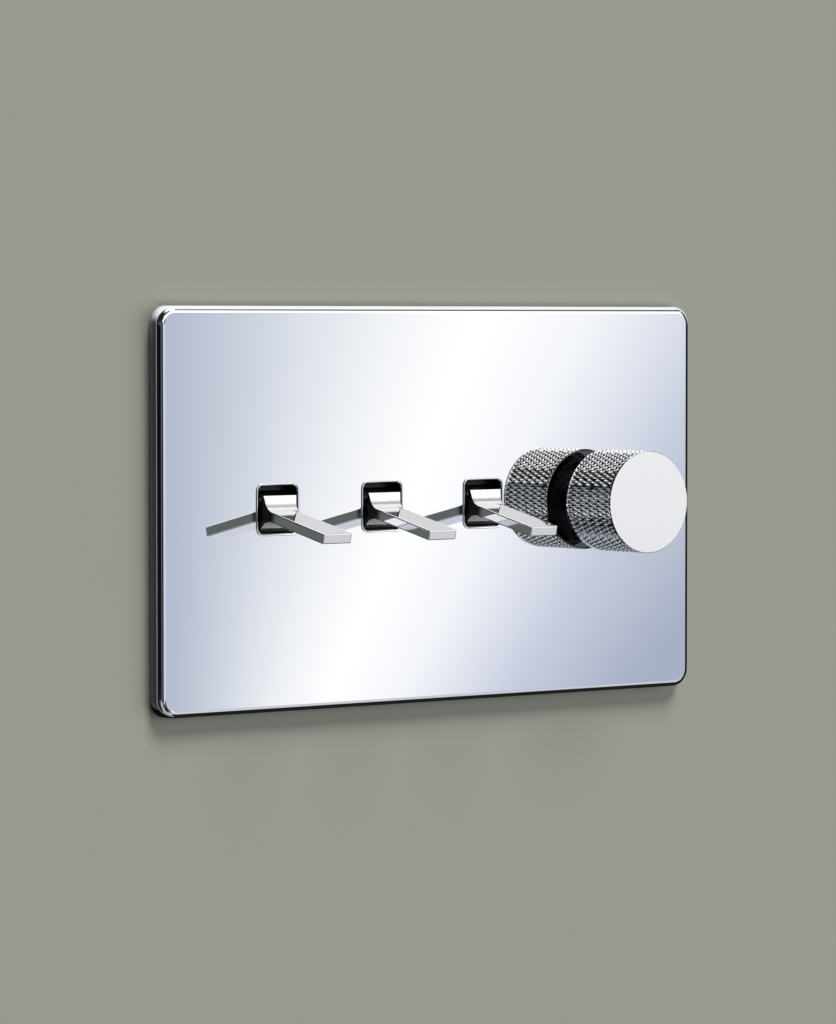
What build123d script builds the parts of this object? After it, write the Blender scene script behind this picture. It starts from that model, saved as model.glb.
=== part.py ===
from build123d import *
import math
import os

# Sizes in millimetres. X runs right, Z up and Y into the wall; the wall is y = 0 and the front faces -Y.

# Clearances between pieces
press_gap = 0.02
running_gap = 0.05
slide_gap = 0.1
swing_gap = 0.35

# Places of the gangs along the plate, from its left edge to its right
edge_to_toggle = 30.1
toggle_pitch = 27.8
toggle_count = 3
toggle_to_knob = 32.0
knob_to_edge = 28.3

# Front plate
plate_h = 86.0
plate_t = 3.8
plate_skin = 1.0
plate_wall = 1.2
plate_corner_r = 4.0
plate_edge_r = 1.4

# Mounting frame and its fixings
frame_t = 2.4
frame_gap = 0.4
pocket_depth = 0.6
pocket_margin = 0.5
pocket_h = 62.0
fixing_spacing = 120.6
fixing_r = 2.0
clip_x = 35.0
clip_w = 10.0
clip_t = 0.4
clip_notch = 2.0
clip_lift = 0.3
module_screw_r = 1.1
module_head_r = 2.2
module_screw_l = 4.6
module_screw_inset = 3.2
earth_w = 7.0
earth_d = 6.0
earth_z = 24.5

# Toggle collar
collar_w = 11.15
collar_bore = 10.1
collar_wall = 0.3
collar_rise = 0.25
collar_corner_r = 1.7
collar_round = 0.15
bore_corner_r = 1.25
bore_round = 0.35

# Toggle lever, drum and plunger, measured from the pivot along the lever
pivot_depth = 1.2
lever_tilt = 12.0
blade_l = 26.1
blade_w = 7.4
blade_t = 2.2
blade_edge_r = 0.28
tip_edge_r = 0.28
root_from_pivot = 4.25
root_side_gap = 0.8
root_top_gap = 1.05
root_bottom_gap = 1.35
root_land = 0.3
flare_r = 2.25
flare_slope = 25.0
tang_w = 5.2
tang_t = 1.4
tang_l = 2.6
drum_r = 3.6
drum_w = 8.0
neck_w = 7.6
neck_h = 5.0
tail_r = 2.3
tail_l = 9.0
tail_bore_r = 1.55
tail_bore_floor = 4.2
pin_r = 0.8
plunger_l = 3.9
plunger_tip_r = 1.3
plunger_reach = 10.5
spring_wire_r = 0.2
spring_turns = 4

# Toggle housing and base
toggle_w = 23.0
toggle_h = 33.0
toggle_d = 22.6
toggle_front = 3.2
toggle_wall = 1.8
toggle_corner_r = 1.5
rib_w = 1.2
rib_out = 0.6
rib_pitch = 6.5
hook_w = 6.0
hook_t = 1.0
hook_l = 6.0
hook_nub = 2.0
hook_sink = 0.3
base_t = 3.0
barrier_h = 4.0
barrier_t = 1.2
barrier_w = 18.0

# Rocker and terminals of a toggle
rock_angle = 8.0
saddle_h = 2.0
saddle_gap = 0.3
saddle_slope = 0.4
saddle_half = 3.2
rocker_w = 5.0
rocker_half = 7.2
rocker_back = 0.6
rocker_t = 1.0
button_z = 6.0
button_r = 1.0
contact_gap = 0.08
contact_r = 1.2
contact_t = 0.55
bar_r = 1.0
cheek_t = 1.0
cheek_h = 2.0
strip_t = 0.8
strip_w = 3.0
terminal_w = 6.4
terminal_h = 6.0
terminal_d = 6.0
terminal_pitch = 11.5
wire_r = 1.3
screw_r = 1.25
screw_l = 2.0
screw_head_r = 2.1
screw_head_t = 1.3
slot_w = 0.6
slot_depth = 0.6

# Dimmer housing, bush and knob
dimmer_w = 24.4
dimmer_h = 50.0
dimmer_d = 25.6
dimmer_wall = 1.4
vent_count = 7
vent_w = 1.4
vent_l = 11.0
vent_pitch = 3.6
vent_from = 3.0
bush_r = 4.9
bush_out = 2.6
bush_flange_r = 7.5
bush_flange_t = 1.2
washer_r = 7.2
washer_t = 0.4
nut_flats = 12.0
nut_t = 1.6
spindle_r = 3.0
spindle_flat = 2.4
spindle_tail = 9.5
push_travel = 1.2
knob_r = 11.32
knob_l = 14.96
knob_lift = 3.6
knurl_depth = 0.5
knurl_count = 64
knurl_rows = 10
knob_rim = 0.35
knob_face_t = 0.5
knob_face_step = 0.1
knob_chamfer = 0.12
knob_cap_t = 2.8
insert_r = 9.6
insert_sink = 0.5
insert_lip = 1.25
insert_cup = 4.6
socket_l = 5.5

# Inside the dimmer
control_w = 16.0
control_t = 5.2
chamber_r = 6.5
chamber_from = 0.6
chamber_l = 2.8
rotor_r = 6.1
rotor_t = 1.6
switch_w = 8.0
button_out = 0.6
switch_button_r = 1.5
switch_gap = 0.2
switch_l = 6.0
board_t = 1.6
board_gap = 0.5
choke_r = 7.6
choke_bore = 3.6
choke_h = 7.0
choke_z = -13.0
capacitor_w = 14.0
capacitor_h = 7.0
capacitor_gap = 0.5
capacitor_z = 9.5
triac_w = 10.4
triac_h = 4.6
triac_d = 9.0
triac_z = 18.5
sink_t = 2.0
fin_count = 6
fin_t = 1.4
fin_out = 4.0
fin_end_gap = 2.0
fin_terminal_gap = 3.5
post_r = 1.5
post_inset = 3.0
dimmer_terminal_w = 5.6
dimmer_terminal_h = 7.0
dimmer_terminal_side = 0.6
dimmer_terminal_foot = 1.1
dimmer_terminal_out = 4.6

# Levels along Y that several pieces share
front_y = -plate_t
skin_y = front_y + plate_skin
frame_y = -frame_t
seat_y = -pocket_depth
pivot_y = seat_y + pivot_depth
inner_y = seat_y + toggle_front
base_y = seat_y + toggle_d
terminal_y = base_y + base_t
rocker_y = pivot_y + plunger_reach + saddle_gap + saddle_h
contact_y = rocker_y + (button_z + button_r) * math.sin(math.radians(rock_angle)) + contact_gap
sink_y = seat_y + dimmer_d
knob_back_y = front_y - knob_lift
knob_front_y = knob_back_y - knob_l
control_y = inner_y + bush_flange_t
switch_y = spindle_tail + push_travel + switch_gap
board_y = switch_y + button_out + switch_l

# Places and sizes worked out from the sizes above
plate_w = edge_to_toggle + toggle_pitch * (toggle_count - 1) + toggle_to_knob + knob_to_edge
knob_x = plate_w / 2 - knob_to_edge
toggle_xs = [edge_to_toggle - plate_w / 2 + toggle_pitch * i for i in range(toggle_count)]
cavity_w = plate_w - 2 * plate_wall
cavity_h = plate_h - 2 * plate_wall
frame_w = cavity_w - 2 * frame_gap
frame_h = cavity_h - 2 * frame_gap
sleeve_w = collar_bore + 2 * collar_wall
sleeve_corner_r = bore_corner_r + collar_wall
root_w = collar_bore - 2 * root_side_gap
root_up = collar_bore / 2 - root_top_gap
root_down = collar_bore / 2 - root_bottom_gap
bush_hole_r = bush_r + slide_gap
knurl_valley_r = knob_r - knurl_depth
knob_face_r = knob_r - knob_face_step
insert_back_y = knob_back_y - insert_sink
socket_y = insert_back_y - insert_cup
toggle_screw_z = toggle_h / 2 - module_screw_inset
dimmer_screw_z = dimmer_h / 2 - module_screw_inset
module_screw_places = [(x, side * toggle_screw_z) for x in toggle_xs for side in (-1, 1)]
module_screw_places += [(knob_x, side * dimmer_screw_z) for side in (-1, 1)]
earth_x = (toggle_xs[-2] + toggle_xs[-1]) / 2
terminal_zs = [-terminal_pitch, 0.0, terminal_pitch]
dimmer_inner_w = dimmer_w - 2 * dimmer_wall
dimmer_inner_h = dimmer_h - 2 * dimmer_wall
post_from_edge = dimmer_wall + board_gap + post_inset
dimmer_terminal_pitch = (dimmer_inner_w - dimmer_terminal_w) / 2 - dimmer_terminal_side
dimmer_terminal_foot_z = post_from_edge + post_r + dimmer_terminal_foot - dimmer_h / 2
dimmer_terminal_z = dimmer_terminal_foot_z + dimmer_terminal_h / 2
dimmer_terminal_xs = [knob_x + dimmer_terminal_pitch * i for i in (-1, 0, 1)]


def prism(outline, y0, y1):
    """An outline drawn in X and Z, extruded from y0 back to y1."""
    return extrude(Plane.XZ.offset(-y1) * outline, amount=y1 - y0)


def rod(x, z, r, y0, y1):
    """A round bar along Y."""
    return prism(Pos(x, z) * Circle(r), y0, y1)


def cross_bar(y, z, r, x0, x1):
    """A round bar along X."""
    return Pos((x0 + x1) / 2, y, z) * Rot(0, 90, 0) * Cylinder(r, x1 - x0)


def block(x0, x1, y0, y1, z0, z1):
    """A box between two corners."""
    middle = Pos((x0 + x1) / 2, (y0 + y1) / 2, (z0 + z1) / 2)
    return middle * Box(x1 - x0, y1 - y0, z1 - z0)


def centred(x, z, w, h, y0, y1):
    """A box along Y, w by h, centred on x and z."""
    return block(x - w / 2, x + w / 2, y0, y1, z - h / 2, z + h / 2)


def square_bar(x, w, corner_r, y0, y1):
    """A square bar along Y with rounded corners."""
    return prism(Pos(x, 0) * RectangleRounded(w, w, corner_r), y0, y1)


def on_lever(x, piece):
    """Puts a piece drawn along the lever's own axis at its pivot, tilted as at rest."""
    return Pos(x, pivot_y, 0) * Rot(lever_tilt, 0, 0) * piece


# Front plate: a pressed tray with a soft front edge, pierced for the collars and the dimmer's bush
def front_plate():
    tray = prism(RectangleRounded(plate_w, plate_h, plate_corner_r), front_y, 0)
    tray = fillet(tray.faces().sort_by(Axis.Y)[0].edges(), plate_edge_r)
    cavity = RectangleRounded(cavity_w, cavity_h, plate_corner_r - plate_wall)
    tray -= prism(cavity, skin_y, plate_t)
    for x in toggle_xs:
        tray -= square_bar(x, sleeve_w + 2 * press_gap, sleeve_corner_r, front_y, skin_y)
    return tray - rod(knob_x, 0, bush_hole_r, front_y, skin_y)


# Mounting frame: a flat black frame, pocketed at the back for the modules and notched for the clips
def mounting_frame():
    frame = prism(RectangleRounded(frame_w, frame_h, plate_corner_r - plate_wall), frame_y, 0)
    left = toggle_xs[0] - toggle_w / 2 - pocket_margin
    right = knob_x + dimmer_w / 2 + pocket_margin
    frame -= block(left, right, seat_y, frame_t, -pocket_h / 2, pocket_h / 2)
    for x in toggle_xs:
        frame -= square_bar(x, collar_bore, bore_corner_r, frame_y, seat_y)
    frame -= rod(knob_x, 0, bush_hole_r, frame_y, seat_y)
    for x in (-fixing_spacing / 2, fixing_spacing / 2):
        frame -= rod(x, 0, fixing_r, frame_y, 0)
    for x, z in module_screw_places:
        frame -= module_screw(x, z, slide_gap)
    for x in (-clip_x, clip_x):
        for side in (-1, 1):
            edge = side * (frame_h / 2)
            frame -= centred(x, edge, clip_w + 2 * slide_gap, 2 * clip_notch, frame_y, 0)
    return frame


# Plate clips: bent spring strips, open to the back, between the frame's notches and the plate's rim
def plate_clip(x, side):
    inner = frame_h / 2 - clip_notch
    outer = cavity_h / 2
    middle = side * (inner + outer) / 2
    depth = outer - inner
    strip = centred(x, middle, clip_w, depth, frame_y, -clip_lift)
    return strip - centred(x, middle, clip_w, depth - 2 * clip_t, frame_y + clip_t, -clip_lift)


# Module screws: countersunk in the frame, into the front wall of each module
def module_screw(x, z, gap=0.0):
    taper = module_head_r - module_screw_r
    head = Circle(module_head_r + gap)
    cone = extrude(Plane.XZ.offset(-frame_y) * Pos(x, z) * head, amount=-taper, taper=45)
    return cone + rod(x, z, module_screw_r + gap, frame_y, frame_y + module_screw_l + gap)


def module_screw_hole(x, z):
    return rod(x, z, module_screw_r + press_gap, seat_y, frame_y + module_screw_l + press_gap)


# Clamping screws: a slotted cheese head on a plain shank, driven from the back
def clamp_screw(x, z, seat):
    head = rod(x, z, screw_head_r, seat, seat + screw_head_t)
    slot_y = seat + screw_head_t - slot_depth
    head -= centred(x, z, 2 * screw_head_r, slot_w, slot_y, seat + screw_head_t)
    return head + rod(x, z, screw_r, seat - screw_l, seat)


def clamp_hole(x, z, seat):
    return rod(x, z, screw_r + press_gap, seat - screw_l - slide_gap, seat)


# Earth terminal: a brass block on the frame's back, with a wire hole and its screw
def earth_terminal():
    body = centred(earth_x, earth_z, earth_w, earth_w, seat_y, seat_y + earth_d)
    body -= cross_bar(seat_y + earth_d / 2, earth_z, wire_r, earth_x - earth_w, earth_x + earth_w)
    return body - clamp_hole(earth_x, earth_z, seat_y + earth_d)


# Toggle collar: a square sleeve through the plate with a raised rim, rounded off into the bore
def toggle_collar(x):
    rim = square_bar(x, collar_w, collar_corner_r, front_y - collar_rise, front_y)
    rim = fillet(rim.faces().sort_by(Axis.Y)[0].edges(), collar_round)
    sleeve = square_bar(x, sleeve_w, sleeve_corner_r, front_y, frame_y - slide_gap)
    bore = square_bar(x, collar_bore, bore_corner_r, front_y - collar_rise, frame_y)
    collar = rim + sleeve - bore
    lip = collar.faces().sort_by(Axis.Y)[0].inner_wires()
    return fillet(lip.edges(), bore_round)


# Toggle lever: a flat blade with a square end, flaring through a hollow to the sloped face of a broad root
def toggle_lever(x):
    flare_from = root_from_pivot + root_land
    slope = math.radians(flare_slope)
    middle = (slope + math.pi / 2) / 2
    outline = []
    for side, reach in ((1, root_up), (-1, root_down)):
        foot = blade_t / 2 + flare_r * (1 - math.sin(slope))
        foot_from = flare_from + (reach - foot) * math.tan(slope)
        flare_to = foot_from + flare_r * math.cos(slope)
        corner = (-root_from_pivot, side * reach)
        lip = (-flare_from, side * reach)
        bend = (-foot_from, side * foot)
        hollow = (flare_r * math.cos(middle) - flare_to, side * (blade_t / 2 + flare_r * (1 - math.sin(middle))))
        neck = (-flare_to, side * blade_t / 2)
        outline += [Line(corner, lip), Line(lip, bend), ThreePointArc(bend, hollow, neck)]
    outline.append(Line(outline[0] @ 0, outline[3] @ 0))
    outline.append(Line(outline[2] @ 1, outline[5] @ 1))
    root = extrude(Plane.YZ * make_face(outline), amount=root_w / 2, both=True)
    step = (root_w - blade_w) / 2
    plan = []
    for side in (1, -1):
        corner = (side * root_w / 2, -root_from_pivot)
        lip = (side * root_w / 2, -flare_from)
        hollow = (side * (blade_w / 2 + step / 4), -(flare_from + flare_to) / 2)
        neck = (side * blade_w / 2, -flare_to)
        plan += [Line(corner, lip), ThreePointArc(lip, hollow, neck)]
    plan.append(Line(plan[0] @ 0, plan[2] @ 0))
    plan.append(Line(plan[1] @ 1, plan[3] @ 1))
    root &= extrude(make_face(plan), amount=root_up + root_down, both=True)
    blade = block(-blade_w / 2, blade_w / 2, -blade_l, -flare_from, -blade_t / 2, blade_t / 2)
    blade = fillet(blade.edges().filter_by(Axis.Y), blade_edge_r)
    blade = fillet(blade.faces().sort_by(Axis.Y)[0].edges(), tip_edge_r)
    tang_from = root_from_pivot - tang_l
    tang = block(-tang_w / 2, tang_w / 2, -root_from_pivot, -tang_from, -tang_t / 2, tang_t / 2)
    return on_lever(x, root + blade + tang)


# Toggle drum: the black carrier that the lever's tang is pressed into, with a hollow tail
def toggle_drum(x):
    drum = cross_bar(0, 0, drum_r, -drum_w / 2, drum_w / 2)
    drum += centred(0, 0, neck_w, neck_h, -root_from_pivot, 0)
    drum += rod(0, 0, tail_r, 0, tail_l)
    drum -= rod(0, 0, tail_bore_r, tail_bore_floor, tail_l)
    drum -= cross_bar(0, 0, pin_r + running_gap, -drum_w, drum_w)
    slot_from = tang_l - root_from_pivot + press_gap
    drum -= centred(0, 0, tang_w + 2 * press_gap, tang_t + 2 * press_gap, -root_from_pivot, slot_from)
    return on_lever(x, drum)


def toggle_plunger(x):
    tip_y = plunger_reach - plunger_tip_r
    body = rod(0, 0, tail_bore_r - running_gap, plunger_reach - plunger_l, tip_y)
    return on_lever(x, body + Pos(0, tip_y, 0) * Sphere(plunger_tip_r))


# Spring: fills the tail's bore between its floor and the plunger
def toggle_spring(x):
    floor_y = tail_bore_floor + spring_wire_r
    length = plunger_reach - plunger_l - tail_bore_floor - 2 * spring_wire_r
    coil_r = tail_bore_r - running_gap - 2 * spring_wire_r
    path = Helix(length / spring_turns, length, coil_r)
    coil = sweep(Plane(path @ 0, z_dir=path % 0) * RegularPolygon(spring_wire_r, 6), path=path)
    return on_lever(x, Pos(0, floor_y, 0) * Rot(-90, 0, 0) * coil)


# Toggle housing: a box with a thick front wall that holds the pin and has a window for the drum
def toggle_housing(x):
    shell = prism(Pos(x, 0) * RectangleRounded(toggle_w, toggle_h, toggle_corner_r), seat_y, base_y)
    for i in (-1, 0, 1):
        shell += centred(x + i * rib_pitch, 0, rib_w, toggle_h + 2 * rib_out, inner_y, base_y)
    shell -= centred(x, 0, toggle_w - 2 * toggle_wall, toggle_h - 2 * toggle_wall, inner_y, base_y)
    notch = base_y - hook_l - slide_gap
    shell -= centred(x, 0, toggle_w, hook_w + 2 * slide_gap, notch, notch + hook_nub + 2 * slide_gap)
    window_h = 2 * (drum_r + swing_gap)
    shell -= centred(x, 0, drum_w + 2 * swing_gap, window_h, seat_y, inner_y)
    shell -= cross_bar(pivot_y, 0, pin_r + press_gap, x - toggle_w / 2, x + toggle_w / 2)
    for side in (-1, 1):
        shell -= module_screw_hole(x, side * toggle_screw_z)
    return shell


def pivot_pin(x):
    half = toggle_w / 2 - slide_gap
    return cross_bar(pivot_y, 0, pin_r, x - half, x + half)


# Rocker: a see-saw strip with a shallow V for the plunger, contact buttons and a groove for the bar
def toggle_rocker(x):
    horn = saddle_h + saddle_slope * saddle_half
    front = rocker_back + rocker_t
    outline = Polyline(
        (-rocker_back, -rocker_half),
        (-front, -rocker_half),
        (-front, -saddle_half),
        (-horn, -saddle_half),
        (-saddle_h, 0),
        (-horn, saddle_half),
        (-front, saddle_half),
        (-front, rocker_half),
        (-rocker_back, rocker_half),
        (-rocker_back, saddle_half),
        (0, saddle_half / 2),
        (0, -saddle_half / 2),
        (-rocker_back, -saddle_half),
        close=True,
    )
    rocker = extrude(Plane.YZ * make_face(outline), amount=rocker_w / 2, both=True)
    rocker -= cross_bar(0, 0, bar_r + running_gap, -rocker_w, rocker_w)
    for side in (-1, 1):
        rocker += rod(0, side * button_z, button_r, -rocker_back, 0)
    return Pos(x, rocker_y, 0) * Rot(-rock_angle, 0, 0) * rocker


# Terminals: brass blocks behind the base, each with its contact strip or the rocker's bar
def terminal_block(x, z):
    body = centred(x, z, terminal_w, terminal_h, terminal_y, terminal_y + terminal_d)
    middle = terminal_y + terminal_d / 2
    body -= cross_bar(middle, z, wire_r, x - terminal_w, x + terminal_w)
    return body - clamp_hole(x, z, terminal_y + terminal_d)


def throw_terminal(x, side):
    pad_y = contact_y + contact_t
    z = side * terminal_pitch
    pad = rod(x, side * button_z, contact_r, contact_y, pad_y)
    low, high = sorted((side * (button_z - contact_r), z + side * strip_t / 2))
    strip = block(x - strip_w / 2, x + strip_w / 2, pad_y, pad_y + strip_t, low, high)
    riser = centred(x, z, strip_w, strip_t, pad_y, terminal_y)
    return pad + strip + riser + terminal_block(x, z)


def common_terminal(x):
    reach = rocker_w / 2 + swing_gap + cheek_t
    terminal = cross_bar(rocker_y, 0, bar_r, x - reach, x + reach)
    for side in (-1, 1):
        middle = x + side * (reach - cheek_t / 2)
        terminal += centred(middle, 0, cheek_t, cheek_h, rocker_y, terminal_y)
    tie = centred(x, 0, 2 * reach, terminal_h, terminal_y, terminal_y + strip_t)
    return terminal + tie + terminal_block(x, 0)


# Hooks: two tongues on the base that snap into windows in the housing's sides
def base_hook(x, side):
    wall = toggle_w / 2 - toggle_wall - slide_gap
    tip_y = base_y - hook_l
    outline = Polyline(
        (x + side * (wall - hook_t), base_y),
        (x + side * (wall - hook_t), tip_y),
        (x + side * wall, tip_y),
        (x + side * (toggle_w / 2 - hook_sink), tip_y + hook_nub / 2),
        (x + side * (toggle_w / 2 - hook_sink), tip_y + hook_nub),
        (x + side * wall, tip_y + hook_nub),
        (x + side * wall, base_y),
        close=True,
    )
    return extrude(make_face(outline), amount=hook_w / 2, both=True)


# Toggle base: closes the housing, slotted for the strips, with barriers between the terminals
def toggle_base(x):
    base = prism(Pos(x, 0) * RectangleRounded(toggle_w, toggle_h, toggle_corner_r), base_y, terminal_y)
    for z in (-terminal_pitch / 2, terminal_pitch / 2):
        base += centred(x, z, barrier_w, barrier_t, terminal_y, terminal_y + barrier_h)
    for side in (-1, 1):
        base += base_hook(x, side)
    for z in (-terminal_pitch, terminal_pitch):
        base -= centred(x, z, strip_w + slide_gap, strip_t + slide_gap, base_y, terminal_y)
    for side in (-1, 1):
        middle = x + side * (rocker_w / 2 + swing_gap + cheek_t / 2)
        base -= centred(middle, 0, cheek_t + slide_gap, cheek_h + slide_gap, base_y, terminal_y)
    return base


# Dimmer housing: a taller box with the same front wall, bored for the bush
def dimmer_housing():
    outer = Pos(knob_x, 0) * RectangleRounded(dimmer_w, dimmer_h, toggle_corner_r)
    shell = prism(outer, seat_y, sink_y)
    shell -= centred(knob_x, 0, dimmer_inner_w, dimmer_inner_h, inner_y, sink_y)
    vent_y = inner_y + vent_from
    for i in range(vent_count):
        z = vent_pitch * (i - (vent_count - 1) / 2)
        shell -= centred(knob_x, z, dimmer_w, vent_w, vent_y, vent_y + vent_l)
    shell -= rod(knob_x, 0, bush_hole_r, seat_y, inner_y)
    for side in (-1, 1):
        shell -= module_screw_hole(knob_x, side * dimmer_screw_z)
    return shell


# Bush, washer and nut: the flange bears on the housing's front wall, the nut on the plate
def dimmer_bush():
    bush = rod(knob_x, 0, bush_r, front_y - bush_out, control_y)
    bush += rod(knob_x, 0, bush_flange_r, inner_y, control_y)
    return bush - rod(knob_x, 0, spindle_r + running_gap, front_y - bush_out, control_y)


def dimmer_washer():
    ring = rod(knob_x, 0, washer_r, front_y - washer_t, front_y)
    return ring - rod(knob_x, 0, bush_hole_r, front_y - washer_t, front_y)


def dimmer_nut():
    hexagon = RegularPolygon(nut_flats / 2, 6, major_radius=False)
    nut_back = front_y - washer_t
    nut = prism(Pos(knob_x, 0) * hexagon, nut_back - nut_t, nut_back)
    return nut - rod(knob_x, 0, bush_r + press_gap, nut_back - nut_t, nut_back)


# Spindle: round in the bush, with a flat on the length that drives the rotor and on the knob's end
def d_bar(r, flat, y0, y1):
    bar = rod(knob_x, 0, r, y0, y1)
    return bar - block(knob_x - r, knob_x + r, y0, y1, flat, 2 * r)


def dimmer_spindle():
    tip_y = socket_y - socket_l
    spindle = rod(knob_x, 0, spindle_r, socket_y, control_y)
    spindle += d_bar(spindle_r, spindle_flat, control_y, spindle_tail)
    return spindle + d_bar(spindle_r, spindle_flat, tip_y, socket_y)


# Knurl: crossed helical grooves that leave a lattice of pointed diamonds round the barrel
def knurled_barrel(y0, y1):
    def point(i, j):
        angle = math.pi * i / knurl_count
        r = knob_r if (i + j) % 2 else knurl_valley_r
        y = y0 + (y1 - y0) * j / knurl_rows
        return Vector(knob_x + r * math.cos(angle), y, r * math.sin(angle))

    steps = 2 * knurl_count
    faces = []
    for j in range(knurl_rows):
        for i in range(steps):
            near, far = point(i, j), point(i + 1, j + 1)
            up, over = point(i, j + 1), point(i + 1, j)
            if (i + j) % 2:
                triangles = [(over, up, near), (up, over, far)]
            else:
                triangles = [(near, far, over), (far, near, up)]
            faces += [Face(Wire.make_polygon(corners, close=True)) for corners in triangles]
    for j in (0, knurl_rows):
        star = [point(i, j) for i in range(steps)]
        faces.append(Face(Wire.make_polygon(star, close=True)))
    return Solid(Shell(faces))


# Knob: the knurled barrel between a plain rear rim and a chamfered flat face, hollow from the back
def dimmer_knob():
    face_y = knob_front_y + knob_face_t
    rim_y = knob_back_y - knob_rim
    knob = knurled_barrel(face_y, rim_y)
    face = rod(knob_x, 0, knob_face_r, knob_front_y, face_y)
    face = chamfer(face.faces().sort_by(Axis.Y)[0].edges(), knob_chamfer)
    rim = rod(knob_x, 0, knob_face_r, rim_y, knob_back_y)
    return knob + face + rim - rod(knob_x, 0, insert_r, knob_front_y + knob_cap_t, knob_back_y)


# Knob insert: a black cup that fills the knob's hollow and grips the spindle's flat
def knob_insert():
    outer_r = insert_r - press_gap
    cup = rod(knob_x, 0, outer_r, knob_front_y + knob_cap_t, insert_back_y)
    cup -= rod(knob_x, 0, outer_r - insert_lip, socket_y, insert_back_y)
    tip_y = socket_y - socket_l
    return cup - d_bar(spindle_r + press_gap, spindle_flat + press_gap, tip_y, socket_y)


# Control: a square body behind the bush with a round chamber for the rotor
def dimmer_control():
    back = control_y + control_t
    body = centred(knob_x, 0, control_w, control_w, control_y, back)
    body -= rod(knob_x, 0, spindle_r + swing_gap, control_y, back)
    chamber = control_y + chamber_from
    return body - rod(knob_x, 0, chamber_r, chamber, chamber + chamber_l)


def dimmer_rotor():
    start = control_y + chamber_from + (chamber_l - rotor_t) / 2
    disc = rod(knob_x, 0, rotor_r, start, start + rotor_t)
    return disc - d_bar(spindle_r + running_gap, spindle_flat + running_gap, start, start + rotor_t)


def push_switch():
    body_y = switch_y + button_out
    body = centred(knob_x, 0, switch_w, switch_w, body_y, board_y)
    return body + rod(knob_x, 0, switch_button_r, switch_y, body_y)


def circuit_board():
    w = dimmer_inner_w - 2 * board_gap
    h = dimmer_inner_h - 2 * board_gap
    return centred(knob_x, 0, w, h, board_y, board_y + board_t)


# Parts on the board's front
def dimmer_choke():
    ring = rod(knob_x, choke_z, choke_r, board_y - choke_h, board_y)
    ring -= rod(knob_x, choke_z, choke_bore, board_y - choke_h, board_y)
    return ring


def dimmer_capacitor():
    front = control_y + control_t + capacitor_gap
    return centred(knob_x, capacitor_z, capacitor_w, capacitor_h, front, board_y)


def dimmer_triac():
    return centred(knob_x, triac_z, triac_w, triac_h, board_y - triac_d, board_y)


# Heat sink: a finned lid on the housing's back, with posts that hold the board
def dimmer_sink():
    lid_y = sink_y + sink_t
    outer = Pos(knob_x, 0) * RectangleRounded(dimmer_w, dimmer_h, toggle_corner_r)
    lid = prism(outer, sink_y, lid_y)
    gap = (dimmer_w - fin_t) / (fin_count - 1)
    fin_low = dimmer_terminal_z + dimmer_terminal_h / 2 + fin_terminal_gap
    fin_high = dimmer_h / 2 - fin_end_gap
    for i in range(fin_count):
        x = knob_x - dimmer_w / 2 + gap * i
        lid += block(x, x + fin_t, sink_y, lid_y + fin_out, fin_low, fin_high)
    for side in (-1, 1):
        for end in (-1, 1):
            x = knob_x + side * (dimmer_w / 2 - post_from_edge)
            lid += rod(x, end * (dimmer_h / 2 - post_from_edge), post_r, board_y + board_t, sink_y)
    for x in dimmer_terminal_xs:
        w = dimmer_terminal_w + 2 * slide_gap
        h = dimmer_terminal_h + 2 * slide_gap
        lid -= centred(x, dimmer_terminal_z, w, h, sink_y, lid_y)
    return lid


def dimmer_terminal(x):
    top = sink_y + sink_t + dimmer_terminal_out
    z = dimmer_terminal_z
    body = centred(x, z, dimmer_terminal_w, dimmer_terminal_h, board_y + board_t, top)
    wire_y = top - terminal_d / 2
    wire = Pos(x, wire_y, z) * Cylinder(wire_r, 2 * dimmer_terminal_h)
    return body - wire - clamp_hole(x, z, top)


def save(name, *solids):
    shape = solids[0] if len(solids) == 1 else Compound(children=list(solids))
    export_step(shape, f"parts/{name}.step")


os.makedirs("parts", exist_ok=True)

save("front_plate", front_plate())
save("mounting_frame", mounting_frame())
save("plate_clips", *[plate_clip(x, side) for x in (-clip_x, clip_x) for side in (-1, 1)])
save("module_screws", *[module_screw(x, z) for x, z in module_screw_places])
save("earth_terminal", earth_terminal())
save("earth_screw", clamp_screw(earth_x, earth_z, seat_y + earth_d))

for number, x in enumerate(toggle_xs, start=1):
    save(f"toggle_collar_{number}", toggle_collar(x))
    save(f"toggle_lever_{number}", toggle_lever(x))
    save(f"toggle_drum_{number}", toggle_drum(x))
    save(f"toggle_plunger_{number}", toggle_plunger(x))
    save(f"toggle_spring_{number}", toggle_spring(x))
    save(f"pivot_pin_{number}", pivot_pin(x))
    save(f"toggle_housing_{number}", toggle_housing(x))
    save(f"toggle_rocker_{number}", toggle_rocker(x))
    save(f"toggle_base_{number}", toggle_base(x))
    save(f"toggle_terminals_{number}", throw_terminal(x, -1), common_terminal(x), throw_terminal(x, 1))
    back = terminal_y + terminal_d
    save(f"terminal_screws_{number}", *[clamp_screw(x, z, back) for z in terminal_zs])

save("dimmer_housing", dimmer_housing())
save("dimmer_heat_sink", dimmer_sink())
save("dimmer_bush", dimmer_bush())
save("dimmer_washer", dimmer_washer())
save("dimmer_nut", dimmer_nut())
save("dimmer_spindle", dimmer_spindle())
save("dimmer_knob", dimmer_knob())
save("knob_insert", knob_insert())
save("dimmer_control", dimmer_control())
save("dimmer_rotor", dimmer_rotor())
save("push_switch", push_switch())
save("circuit_board", circuit_board())
save("dimmer_choke", dimmer_choke())
save("dimmer_capacitor", dimmer_capacitor())
save("dimmer_triac", dimmer_triac())
save("dimmer_terminals", *[dimmer_terminal(x) for x in dimmer_terminal_xs])
top = sink_y + sink_t + dimmer_terminal_out
save("dimmer_terminal_screws", *[clamp_screw(x, dimmer_terminal_z, top) for x in dimmer_terminal_xs])
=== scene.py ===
import math

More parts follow.
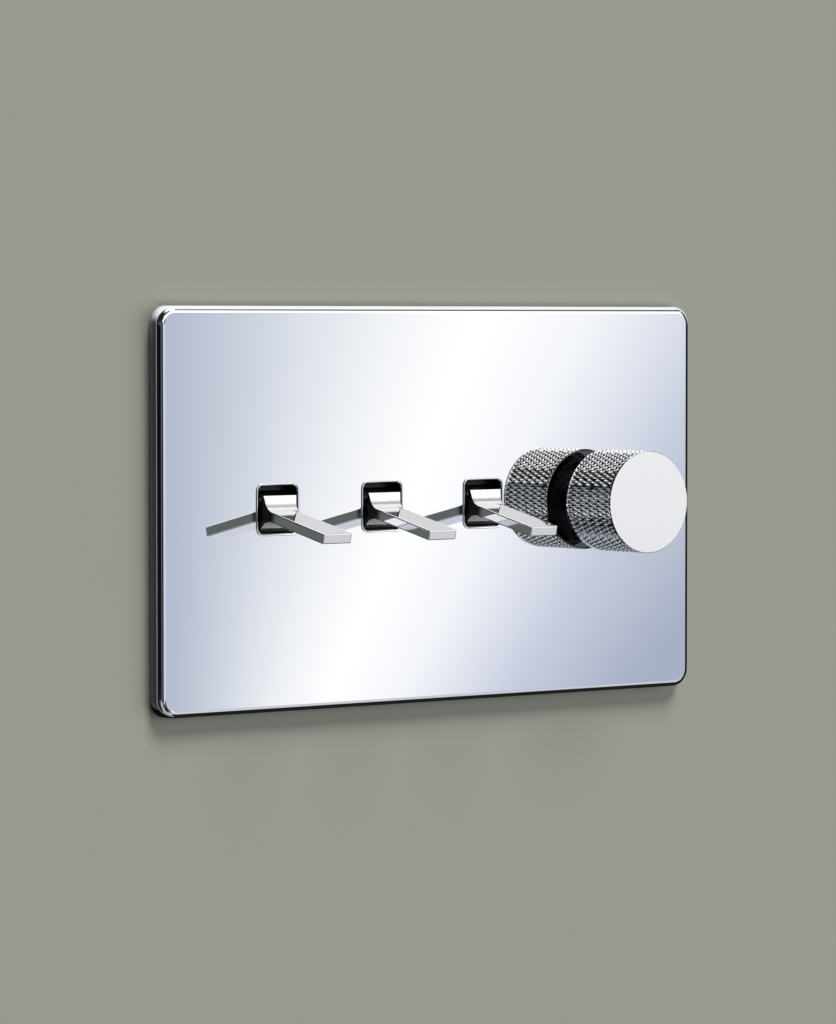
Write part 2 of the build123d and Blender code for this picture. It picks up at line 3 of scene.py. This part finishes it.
import bpy
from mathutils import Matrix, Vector


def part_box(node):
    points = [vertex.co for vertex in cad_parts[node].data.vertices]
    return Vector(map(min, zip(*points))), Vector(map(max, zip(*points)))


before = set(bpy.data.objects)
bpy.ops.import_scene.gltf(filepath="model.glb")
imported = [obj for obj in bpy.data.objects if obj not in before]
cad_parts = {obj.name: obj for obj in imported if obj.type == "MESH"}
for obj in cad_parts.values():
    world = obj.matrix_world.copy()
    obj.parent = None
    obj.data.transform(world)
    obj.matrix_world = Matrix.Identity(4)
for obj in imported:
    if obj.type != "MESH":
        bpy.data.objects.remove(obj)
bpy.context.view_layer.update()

# Mounting frame: a flat sheet-steel frame with a black powder coat, screwed to the wall box.
# Everything else is built on it, so the small shader kit that all finishes share starts here.


class Wire:
    """One output of a shader node; sums written with it add Math nodes."""

    def __init__(self, socket):
        self.socket = socket

    @staticmethod
    def node(tree, kind, sockets=(), out=0, stops=(), **settings):
        made = tree.nodes.new("ShaderNode" + kind)
        for name, value in settings.items():
            setattr(made, name, value)
        for i, (place, colour) in enumerate(stops):
            ramp = made.color_ramp.elements
            stop = ramp[i] if i < len(ramp) else ramp.new(place)
            stop.position, stop.color = place, (*colour, 1)
        for name, value in dict(sockets).items():
            if isinstance(value, Wire):
                tree.links.new(value.socket, made.inputs[name])
            else:
                made.inputs[name].default_value = value
        return Wire(made.outputs[out])

    def sum(self, operation, *values):
        return Wire.node(self.socket.id_data, "Math", enumerate(values), operation=operation)

    def __add__(self, other):
        return self.sum("ADD", self, other)

    __radd__ = __add__

    def __sub__(self, other):
        return self.sum("SUBTRACT", self, other)

    def __rsub__(self, other):
        return self.sum("SUBTRACT", other, self)

    def __mul__(self, other):
        return self.sum("MULTIPLY", self, other)

    __rmul__ = __mul__

    def __truediv__(self, other):
        return self.sum("DIVIDE", self, other)

    def __lt__(self, other):
        return self.sum("LESS_THAN", self, other)

    def __gt__(self, other):
        return self.sum("GREATER_THAN", self, other)


def fade(value, start, end):
    """0 below start and 1 above end, with a soft rise between them."""
    sockets = {"Value": value, "From Min": start, "From Max": end}
    return Wire.node(value.socket.id_data, "MapRange", sockets, interpolation_type="SMOOTHSTEP")


def blend(share, first, second):
    """The first colour where share is 0 and the second where it is 1."""
    sockets = {0: share, 6: first, 7: second}
    return Wire.node(share.socket.id_data, "Mix", sockets, out=2, data_type="RGBA")


class Finish:
    """A material on the piece's own coordinates, in metres."""

    def __init__(self, name, **sockets):
        self.material = bpy.data.materials.new(name)
        self.material.use_nodes = True
        self.tree = self.material.node_tree
        self.shader = self.tree.nodes["Principled BSDF"]
        self.place = self.node("TexCoord", out="Object")
        self.set({socket.replace("_", " "): value for socket, value in sockets.items()})

    def node(self, kind, sockets=(), **settings):
        return Wire.node(self.tree, kind, sockets, **settings)

    def set(self, sockets):
        for name, value in sockets.items():
            if isinstance(value, Wire):
                self.tree.links.new(value.socket, self.shader.inputs[name])
            else:
                self.shader.inputs[name].default_value = value

    def axis(self, name):
        return self.node("SeparateXYZ", {0: self.place}, out=name)

    def grain(self, scale, detail=3.0, vector=None):
        sockets = {"Vector": vector or self.place, "Scale": scale, "Detail": detail}
        return self.node("TexNoise", sockets)

    def relief(self, height, distance, strength=1.0):
        sockets = {"Height": height, "Distance": distance, "Strength": strength}
        self.set({"Normal": self.node("Bump", sockets)})


def dress(finish, slot, *nodes):
    """Puts a finish on CAD nodes; the slot it is given is not used."""
    for name in nodes:
        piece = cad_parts[name]
        piece.data.materials.clear()
        piece.data.materials.append(finish.material)


def numbered(*names):
    """The names of like nodes in the three toggle switches."""
    return [f"{name}_{n}" for name in names for n in (1, 2, 3)]


powder_coat = Finish("black_powder_coat", Specular_IOR_Level=0.4)
speckle = powder_coat.grain(2600)
powder_coat.set({
    "Base Color": blend(speckle, (0.016, 0.016, 0.017, 1), (0.032, 0.032, 0.034, 1)),
    "Roughness": 0.42 + 0.2 * speckle,
})
powder_coat.relief(speckle, 0.00004)
dress(powder_coat, "black_metal", "mounting_frame")

# Screws, washer and nut: turned and pressed steel with a bright zinc plate, faintly cloudy from the bath.
# The screws hold the modules to the frame and the wires in the terminals. The nut holds the dimmer.
zinc = Finish("zinc_plate", Metallic=1.0)
cloud = zinc.grain(700)
zinc.set({
    "Base Color": blend(cloud, (0.54, 0.55, 0.58, 1), (0.74, 0.74, 0.73, 1)),
    "Roughness": 0.2 + 0.22 * cloud,
})
zinc.relief(zinc.grain(5200), 0.00001)
dress(zinc, "zinc_steel", "module_screws", "earth_screw", "dimmer_terminal_screws")
dress(zinc, "zinc_steel", "dimmer_washer", "dimmer_nut", *numbered("terminal_screws"))

# Terminals, rockers and bush: machined brass, a little dulled, with fine cutter marks. The terminals stand
# behind the bases, each rocker see-saws on a bar, and the bush carries the dimmer's spindle.
brass = Finish("machined_brass", Metallic=1.0)
dulling = brass.grain(420, 4.0)
brass.set({
    "Base Color": blend(dulling, (0.46, 0.29, 0.09, 1), (0.80, 0.58, 0.25, 1)),
    "Roughness": 0.24 + 0.2 * dulling,
})
brass.relief(brass.grain(6000), 0.00001)
dress(brass, "terminal_brass", "earth_terminal", "dimmer_bush", "dimmer_terminals")
dress(brass, "terminal_brass", *numbered("toggle_rocker", "toggle_terminals"))

# Housings, drums and other black mouldings: glass-filled nylon with a fine spark-eroded surface.
# The housings are screwed to the back of the frame, and each drum swings in its housing's window.
nylon = Finish("black_nylon", Specular_IOR_Level=0.45)
erosion = nylon.grain(3800)
bloom = nylon.grain(90)
nylon.set({
    "Base Color": blend(bloom, (0.012, 0.012, 0.013, 1), (0.026, 0.026, 0.028, 1)),
    "Roughness": 0.4 + 0.16 * erosion,
})
nylon.relief(erosion, 0.00003)
dress(nylon, "black_plastic", "dimmer_housing", "knob_insert", "push_switch", "dimmer_triac")
dress(nylon, "black_plastic", *numbered("toggle_housing", "toggle_drum"))

# Bases and control: a matte grey moulding. Each base snaps into its housing and carries the terminals.
# The dimmer's control and its rotor are moulded in the same grey.
moulding = Finish("grey_moulding", Specular_IOR_Level=0.4)
flow = moulding.grain(130)
moulding.set({
    "Base Color": blend(flow, (0.12, 0.12, 0.125, 1), (0.19, 0.19, 0.195, 1)),
    "Roughness": 0.48 + 0.12 * flow,
})
moulding.relief(moulding.grain(3400), 0.00003)
dress(moulding, "base_plastic", "dimmer_control", "dimmer_rotor", *numbered("toggle_base"))

# Pins, springs, plungers, spindle and plate clips: bright drawn steel with a faint grain.
# The pins carry the levers, the plungers press on the rockers, and the clips hold the plate to the frame.
drawn_steel = Finish("drawn_steel", Metallic=1.0)
drawing = drawn_steel.grain(1900)
drawn_steel.set({
    "Base Color": blend(drawing, (0.50, 0.50, 0.52, 1), (0.68, 0.68, 0.70, 1)),
    "Roughness": 0.16 + 0.16 * drawing,
})
dress(drawn_steel, "spring_steel", "plate_clips", "dimmer_spindle")
dress(drawn_steel, "spring_steel", *numbered("toggle_plunger", "toggle_spring", "pivot_pin"))

# Heat sink: a finned aluminium casting with a blasted skin.
# It is the lid of the dimmer's housing, and its posts hold the circuit board.
casting = Finish("blasted_casting", Metallic=1.0)
blast = casting.grain(2400, 5.0)
casting.set({
    "Base Color": blend(blast, (0.46, 0.47, 0.48, 1), (0.70, 0.71, 0.72, 1)),
    "Roughness": 0.38 + 0.2 * blast,
})
casting.relief(blast, 0.00006)
dress(casting, "cast_aluminium", "dimmer_heat_sink")

# Circuit board: green solder mask over glass laminate, whose fibres just show.
# It stands on the heat sink's posts and carries the choke and the capacitor.
laminate = Finish("green_laminate")
fibres = laminate.grain(1500)
laminate.set({
    "Base Color": blend(fibres, (0.015, 0.11, 0.045, 1), (0.03, 0.18, 0.08, 1)),
    "Roughness": 0.3 + 0.12 * fibres,
})
dress(laminate, "board_laminate", "circuit_board")

# Choke: a ring wound with lacquered copper wire, on the front of the board.
# The turns run out from its middle, and each one is round, with painted shade darkening the creases between
# them.
winding = Finish("copper_winding", Roughness=0.3)
(choke_left, _, choke_low), (choke_right, _, choke_high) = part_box("dimmer_choke")
choke_x, choke_z, turns = (choke_left + choke_right) / 2, (choke_low + choke_high) / 2, 46
angle = winding.axis("X").sum("ARCTAN2", winding.axis("Z") - choke_z, winding.axis("X") - choke_x)
wire_round_and_crease_shade = angle.sum("SINE", angle * turns) * 0.5 + 0.5
# Painted shade: the wire is coloured dark in the creases between turns.
winding.set({
    "Base Color": blend(wire_round_and_crease_shade, (0.16, 0.05, 0.02, 1), (0.62, 0.27, 0.11, 1)),
    "Metallic": 0.8 * wire_round_and_crease_shade,
})
winding.relief(wire_round_and_crease_shade, 0.0003)
dress(winding, "copper_winding", "dimmer_choke")

# Capacitor: a moulded box filled with yellow resin, on the front of the board.
# The resin is smooth and a little mottled.
resin = Finish("yellow_resin")
mottle = resin.grain(600)
resin.set({
    "Base Color": blend(mottle, (0.48, 0.33, 0.05, 1), (0.60, 0.46, 0.10, 1)),
    "Roughness": 0.22 + 0.14 * mottle,
})
dress(resin, "capacitor_case", "dimmer_capacitor")

# Front plate: pressed brass, polished and chromed to a mirror, clipped over the frame.
# Only a trace of polishing haze keeps it from being a perfect mirror.
mirror = Finish("mirror_chrome", Metallic=1.0)
haze = mirror.grain(60, 2.0)
mirror.set({
    "Base Color": blend(haze, (0.93, 0.935, 0.945, 1), (0.95, 0.955, 0.965, 1)),
    "Roughness": 0.012 + 0.016 * haze,
})
dress(mirror, "mirror_chrome", "front_plate")

# Collars: chromed square rims round the lever openings. Just inside the rim the bore is painted black,
# as painted shade, in place of chrome.
rim = Finish("collar_chrome", Specular_IOR_Level=0.3)
(_, collar_front, _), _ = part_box("toggle_collar_1")
# Painted shade: the bore deeper than this is coloured black and is not metal.
shade_painted_from = collar_front + 0.00075
chrome_lip = rim.axis("Y") < shade_painted_from
wear = rim.grain(500, 2.0)
rim.set({
    "Base Color": blend(chrome_lip, (0.008, 0.008, 0.008, 1), (0.94, 0.945, 0.955, 1)),
    "Metallic": chrome_lip,
    "Roughness": 0.6 - 0.56 * chrome_lip + 0.02 * wear,
})
dress(rim, "mirror_chrome", *numbered("toggle_collar"))

# Levers: solid brass blades, polished and chromed. The mop can't reach under the flared root or far into
# its hollow, so the plating is duller there. The flanks and lower edge inside the collar are painted dark as
# shade.
polish = Finish("lever_chrome", Metallic=1.0)
(_, pin_front, _), (_, pin_back, _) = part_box("pivot_pin_1")
pivot_y, lever_tilt, half_blade = (pin_front + pin_back) / 2, math.radians(12), 0.0011
neck_at, hollow_top, root_edge = -0.0073, 0.0023, 0.0029
out, up = polish.axis("Y") - pivot_y, polish.axis("Z")
along = out * math.cos(lever_tilt) + up * math.sin(lever_tilt)
under = out * math.sin(lever_tilt) - up * math.cos(lever_tilt)
beneath = fade(under, half_blade, 1.6 * half_blade)
hollow = fade(along, 1.06 * neck_at, 0.96 * neck_at) * fade(under, -1.1 * hollow_top, -hollow_top)
facing = polish.node("SeparateXYZ", {0: polish.node("NewGeometry", out="Normal")}, out="X")
flank = fade(facing.sum("ABSOLUTE", facing), 0.4, 0.6) * fade(along, 1.3 * neck_at, neck_at)
# Painted shade: the root's flanks and lower edge are coloured near black.
painted_shade = flank.sum("MAXIMUM", flank, fade(under, root_edge, 1.05 * root_edge))
rubbing = polish.grain(500, 2.0)
plating = blend(rubbing, (0.91, 0.91, 0.92, 1), (0.94, 0.94, 0.95, 1))
dull = hollow.sum("MAXIMUM", 0.24 * hollow, 0.3 * beneath)
polish.set({
    "Base Color": blend(painted_shade, plating, (0.05, 0.05, 0.052, 1)),
    "Metallic": 1 - 0.9 * beneath,
    "Roughness": 0.03 + 0.03 * rubbing + dull,
})
dress(polish, "lever_chrome", *numbered("toggle_lever"))

# Knob: turned brass with a diamond knurl, chromed. Painted shade makes the knurl darker in its pits than
# on its points, with a fine turned line at every other row. It nicks the rims at its ends. The inside is
# left unplated and dark, and the face is satin.
knurl = Finish("knurled_chrome", Metallic=1.0)
(knob_left, knob_front, _), (knob_right, knob_rear, _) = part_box("dimmer_knob")
knob_x, point_r = (knob_left + knob_right) / 2, (knob_right - knob_left) / 2
groove_r, rim_r, nicks = point_r - 0.0005, point_r - 0.0002, 64
face_at, front_rim, rear_rim = knob_front + 0.00003, knob_front + 0.0005, knob_rear - 0.00035
first_line, line_pitch, line_half = knob_rear - 0.00177, 0.002822, 0.00028
satin = knurl.axis("Y") < face_at
from_axis = knurl.axis("X") - knob_x
radius = from_axis.sum("SQRT", from_axis * from_axis + knurl.axis("Z") * knurl.axis("Z"))
# Painted shade: the knurl's pits are coloured darker than its points.
points_over_pit_shade = fade(radius, groove_r, 0.6 * groove_r + 0.4 * point_r)
blasting = knurl.grain(5200)
turned = (first_line - knurl.axis("Y")) / line_pitch
from_line = turned.sum("PINGPONG", turned, 0.5) * line_pitch
metal = blend(points_over_pit_shade, (0.40, 0.40, 0.405, 1), (0.95, 0.955, 0.96, 1))
cut = 1 - fade(from_line, 0.5 * line_half, line_half)
metal = blend(0.65 * cut, metal, (0.04, 0.04, 0.04, 1))
rims = ((knurl.axis("Y") > rear_rim) + (knurl.axis("Y") < front_rim)) * (radius > rim_r)
round_knob = from_axis.sum("ARCTAN2", knurl.axis("Z"), from_axis)
nicked = fade(round_knob.sum("SINE", round_knob * nicks), -0.4, 0.4)
inside = (knurl.axis("Y") > rear_rim) * (radius < rim_r)
metal = blend(rims * nicked, metal, (0.03, 0.03, 0.03, 1))
metal = blend(inside, metal, (0.12, 0.12, 0.12, 1))
knurl.set({
    "Base Color": blend(satin, metal, (0.97, 0.96, 0.95, 1)),
    "Roughness": 0.06 + satin * (0.23 + 0.06 * blasting),
})
straight = knurl.node("MapRange", {"Value": radius, "From Min": groove_r, "From Max": point_r})
knurl.relief((1 - straight) * (1 - satin), 0.4 * (point_r - groove_r))
dress(knurl, "knob_chrome", "dimmer_knob")

# Wall: plain matt paint, cut out behind the plate and not there when seen from behind, so the back shows
# too. Painted shadow darkens it just above the plate. The chrome sees a painted reflection in place of the
# paint: dark, but pale above the plate and along a line to the left of it.
wall_mesh = bpy.data.meshes.new("wall")
wall_reach, wall_y = 1.6, 0.0002
corners = [(-1, -1), (1, -1), (1, 1), (-1, 1)]
wall_mesh.from_pydata([(x * wall_reach, wall_y, z * wall_reach) for x, z in corners], [], [(0, 1, 2, 3)])
wall = bpy.data.objects.new("wall", wall_mesh)
bpy.context.scene.collection.objects.link(wall)
paint = Finish("wall_paint", Roughness=0.9, Specular_IOR_Level=0.1)
roller = paint.grain(220)
painted = blend(roller, (0.302, 0.320, 0.271, 1), (0.308, 0.326, 0.277, 1))
(plate_left, _, plate_bottom), (plate_right, _, plate_top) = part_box("front_plate")
end_fade, painted_shadow_height, line_reach, cut_in = 0.004, 0.0018, 0.005, 0.0016
pale_from, pale_full = plate_top - 0.0035, plate_top + 0.0005
across, up = paint.axis("X"), paint.axis("Z")
above = up - plate_top
over_plate = fade(across, plate_left, plate_left + end_fade)
over_plate = over_plate * (1 - fade(across, plate_right - end_fade, plate_right))
# Painted shadow: the wall is coloured darker just above the plate.
painted_contact_shadow = over_plate * (above > 0) * (1 - fade(above, 0.0, painted_shadow_height))
painted = blend(painted_contact_shadow, painted, (0.225, 0.240, 0.205, 1))
# Painted reflection: seen in the chrome the wall is coloured dark beside the plate, pale on a line further
# left.
beside = (plate_left - across) / line_reach
line = paint.node("ValToRGB", {0: beside}, stops=[
    (0.0, (0.20, 0.20, 0.22)),
    (0.2, (0.06, 0.06, 0.07)),
    (0.40, (0.03, 0.03, 0.035)),
    (0.47, (0.30, 0.30, 0.30)),
    (0.7, (0.30, 0.30, 0.30)),
    (0.85, (0.003, 0.003, 0.004)),
])
dark = blend(beside > 0, (0.01, 0.01, 0.01, 1), line)
# Painted reflection: pale above the plate, over its width.
overhead = fade(up, pale_from, pale_full) * fade(across, plate_left - end_fade, plate_left)
painted_reflection = blend(overhead, dark, (0.95, 0.95, 0.96, 1))
mirrored = paint.node("LightPath", out="Is Glossy Ray")
paint.set({"Base Color": blend(mirrored, painted, painted_reflection)})
behind = paint.node("NewGeometry", out="Backfacing")
clear = paint.node("BsdfTransparent")
hole = (across > plate_left + cut_in) * (across < plate_right - cut_in)
hole = hole * (up > plate_bottom + cut_in) * (up < plate_top - cut_in)
shown = paint.node("MixShader", {0: behind + hole, 1: Wire(paint.shader.outputs[0]), 2: clear})
paint.tree.links.new(shown.socket, paint.tree.nodes["Material Output"].inputs["Surface"])
wall_mesh.materials.append(paint.material)

# Studio: soft even light, with pale screens and dark flags round the front for the chrome to reflect.
# Directions are in degrees: az from straight out of the wall towards the right, el above the horizon.
# climb runs from 0 straight down to 1 straight up.
world = bpy.data.worlds.new("studio")
world.use_nodes = True
studio = world.node_tree
bpy.context.scene.world = world
look = Wire.node(studio, "TexCoord", out="Generated")
side, depth, height = (Wire.node(studio, "SeparateXYZ", {0: look}, out=axis) for axis in "XYZ")
az = side.sum("ARCTAN2", side, 0 - depth) * math.degrees(1)
el = height.sum("ARCSINE", height) * math.degrees(1)
climb = (el + 90) / 180


def band(value, low, high, soft):
    """1 between low and high, fading out over soft on either side."""
    return fade(value, low - soft, low + soft) * (1 - fade(value, high - soft, high + soft))


room = Wire.node(studio, "ValToRGB", {0: climb}, stops=[
    (0.1, (0.30, 0.32, 0.36)),
    (0.17, (0.36, 0.39, 0.45)),
    (0.29, (0.38, 0.42, 0.50)),
    (0.378, (0.65, 0.66, 0.68)),
    (0.456, (0.64, 0.72, 0.90)),
    (0.544, (0.66, 0.74, 0.90)),
    (0.617, (0.75, 0.74, 0.75)),
    (0.644, (0.98, 0.98, 0.98)),
    (0.733, (1.05, 1.05, 1.05)),
])
far_left = Wire.node(studio, "ValToRGB", {0: climb}, stops=[
    (0.15, (0.46, 0.49, 0.53)),
    (0.28, (0.34, 0.37, 0.40)),
    (0.36, (0.30, 0.33, 0.36)),
    (0.45, (0.22, 0.24, 0.26)),
    (0.50, (0.13, 0.14, 0.15)),
    (0.55, (0.08, 0.08, 0.09)),
    (0.61, (0.02, 0.02, 0.022)),
])

# The panel that the plate mirrors is white along a leaning ridge and turns blue on both sides of it.
panel_left, ridge_az, ridge_lean, ridge_el = 34.75, 38.65, 0.3956, 0.044
right_width, right_flare = 11.0, 0.775
ridge = ridge_az + ridge_lean * (el - ridge_el)
left_share = (az - panel_left) / (ridge - panel_left) * 0.5
right_share = (az - ridge) / (right_width + right_flare * el)
left_share = left_share.sum("MINIMUM", left_share, 0.5)
sweep = left_share + right_share.sum("MAXIMUM", right_share, 0.0)
panel = Wire.node(studio, "ValToRGB", {0: sweep}, stops=[
    (0.0, (0.495, 0.535, 0.655)),
    (0.11, (0.615, 0.668, 0.757)),
    (0.22, (0.775, 0.804, 0.865)),
    (0.33, (0.918, 0.938, 0.96)),
    (0.44, (1.03, 1.03, 1.04)),
    (0.5, (1.07, 1.07, 1.07)),
    (0.62, (0.96, 0.975, 1.005)),
    (0.8, (0.61, 0.655, 0.775)),
    (1.0, (0.42, 0.46, 0.58)),
])

# Each card has its sides in az and its ends in el, both with a softness. A later card covers an earlier one.
felt, velvet, gloom = (0.02, 0.02, 0.022, 1), (0.008, 0.008, 0.008, 1), (0.02, 0.02, 0.023, 1)
cards = [
    ("white screen", (31, 48, 2), (-16, 16, 2), (1.97, 1.93, 1.85, 1)),
    ("root screen", (33, 48, 0.6), (14.5, 19.2, 0.6), (1.25, 1.25, 1.25, 1)),
    ("left flag", (-50, -8, 3), (-14, 9, 3), (0.012, 0.012, 0.016, 1)),
    ("slate screen", (-44, -31, 3), (-8, 6, 3), (0.122, 0.136, 0.133, 1)),
    ("upper screen", (-22, 33, 2), (9, 31, 2), (1.1, 1.1, 1.1, 1)),
    ("dark wing", (-64, -14, 3), (18, 62, 3), felt),
    ("high screen", (23, 38, 3), (33, 50, 3), (1.7, 1.7, 1.7, 1)),
    ("upper flag", (-16, 19, 2), (33, 49, 2), felt),
    ("wing foot", (-54, -23, 2), (8, 20, 2), felt),
    ("inner flag", (9, 24, 2), (-14, 7, 2), felt),
    ("front screen", (-3, 3, 4), (-12, 8, 4), (1.0, 1.0, 1.0, 1)),
    ("lower flag", (-14, 28, 3), (-30, -13, 3), gloom),
    ("right flag", (50, 115, 2), (-12, 12, 2), velvet),
    ("right wing", (62, 115, 2), (-25, 26, 2), velvet),
    ("right floor", (53, 115, 2), (-40, -12, 2), velvet),
    ("lower wing", (-35, -17, 2.5), (-35, -12, 2.5), felt),
    ("top strip", (42, 84, 1.5), (27, 44, 1.5), (0.11, 0.11, 0.115, 1)),
    ("dark floor", (33, 110, 2), (-62, -37, 2), (0.012, 0.012, 0.012, 1)),
    ("sill", (33, 48, 1.5), (-17, -8, 1.5), (0.53, 0.55, 0.66, 1)),
    ("tip screen", (33, 48, 1.5), (-36, -17, 1.5), (0.64, 0.65, 0.67, 1)),
    ("front slit", (-4, 7, 2), (-7, 2, 2), (0.56, 0.60, 0.70, 1)),
    ("bright slit", (7, 34, 1), (-6, 1.5, 1), (0.60, 0.68, 0.86, 1)),
    ("far left", (-120, -53, 3), (-100, 100, 3), far_left),
    ("cellar", (-52, 30, 4), (-64, -36, 3), (0.46, 0.49, 0.53, 1)),
    ("far pit", (-128, -68, 3), (-64, -12, 3), gloom),
    ("pit", (-24, 13, 3), (-49, -29, 2), gloom),
    ("slot", (-100, -48, 3), (-5.5, 1.0, 1.0), (0.004, 0.004, 0.006, 1)),
    ("near mirror", (33.2, 43.5, 1.0), (-7.0, 2.5, 1.0), panel),
]
for name, sides, ends, colour in cards:
    room = blend(band(az, *sides) * band(el, *ends), room, colour)
    room.socket.node.label = name

ambient, backdrop = (0.08, 0.08, 0.08, 1), (0.66, 0.68, 0.64, 1)
glossy = Wire.node(studio, "LightPath", out="Is Glossy Ray")
camera_ray = Wire.node(studio, "LightPath", out="Is Camera Ray")
seen = blend(camera_ray, blend(glossy, ambient, room), backdrop)
studio.links.new(seen.socket, studio.nodes["Background"].inputs["Color"])

# Lamps: a soft key from high up throws the plate's shadow down the wall, a broader one from the right
# throws it to the left, and a third lights the back. The chrome reflects the screens instead.
for name, shines, energy, spread in [
    ("key", (-0.2, 1, -1.6), 2.98, 24),
    ("side", (-0.85, 1, 0), 1.73, 54),
    ("back", (0.4, -1, -0.6), 2.0, 40),
]:
    lamp = bpy.data.objects.new(name, bpy.data.lights.new(name, "SUN"))
    lamp.data.energy = energy
    lamp.data.angle = math.radians(spread)
    lamp.rotation_euler = Vector(shines).to_track_quat("-Z", "Y").to_euler()
    lamp.visible_glossy = False
    bpy.context.scene.collection.objects.link(lamp)

# Camera: where the photograph was taken from, left of the plate and a little above it.
# Its heading and dip are in degrees. Colours are shown as they are written.
camera = bpy.data.objects.new("camera", bpy.data.cameras.new("camera"))
heading, dip = -37.8556, 2.401
camera.data.lens = 157.57
camera.location = (-0.600573, -0.769712, 0.039168)
camera.rotation_euler = (math.radians(90 - dip), 0, math.radians(heading))
bpy.context.scene.collection.objects.link(camera)
bpy.context.scene.camera = camera
bpy.context.scene.view_settings.view_transform = "Standard"
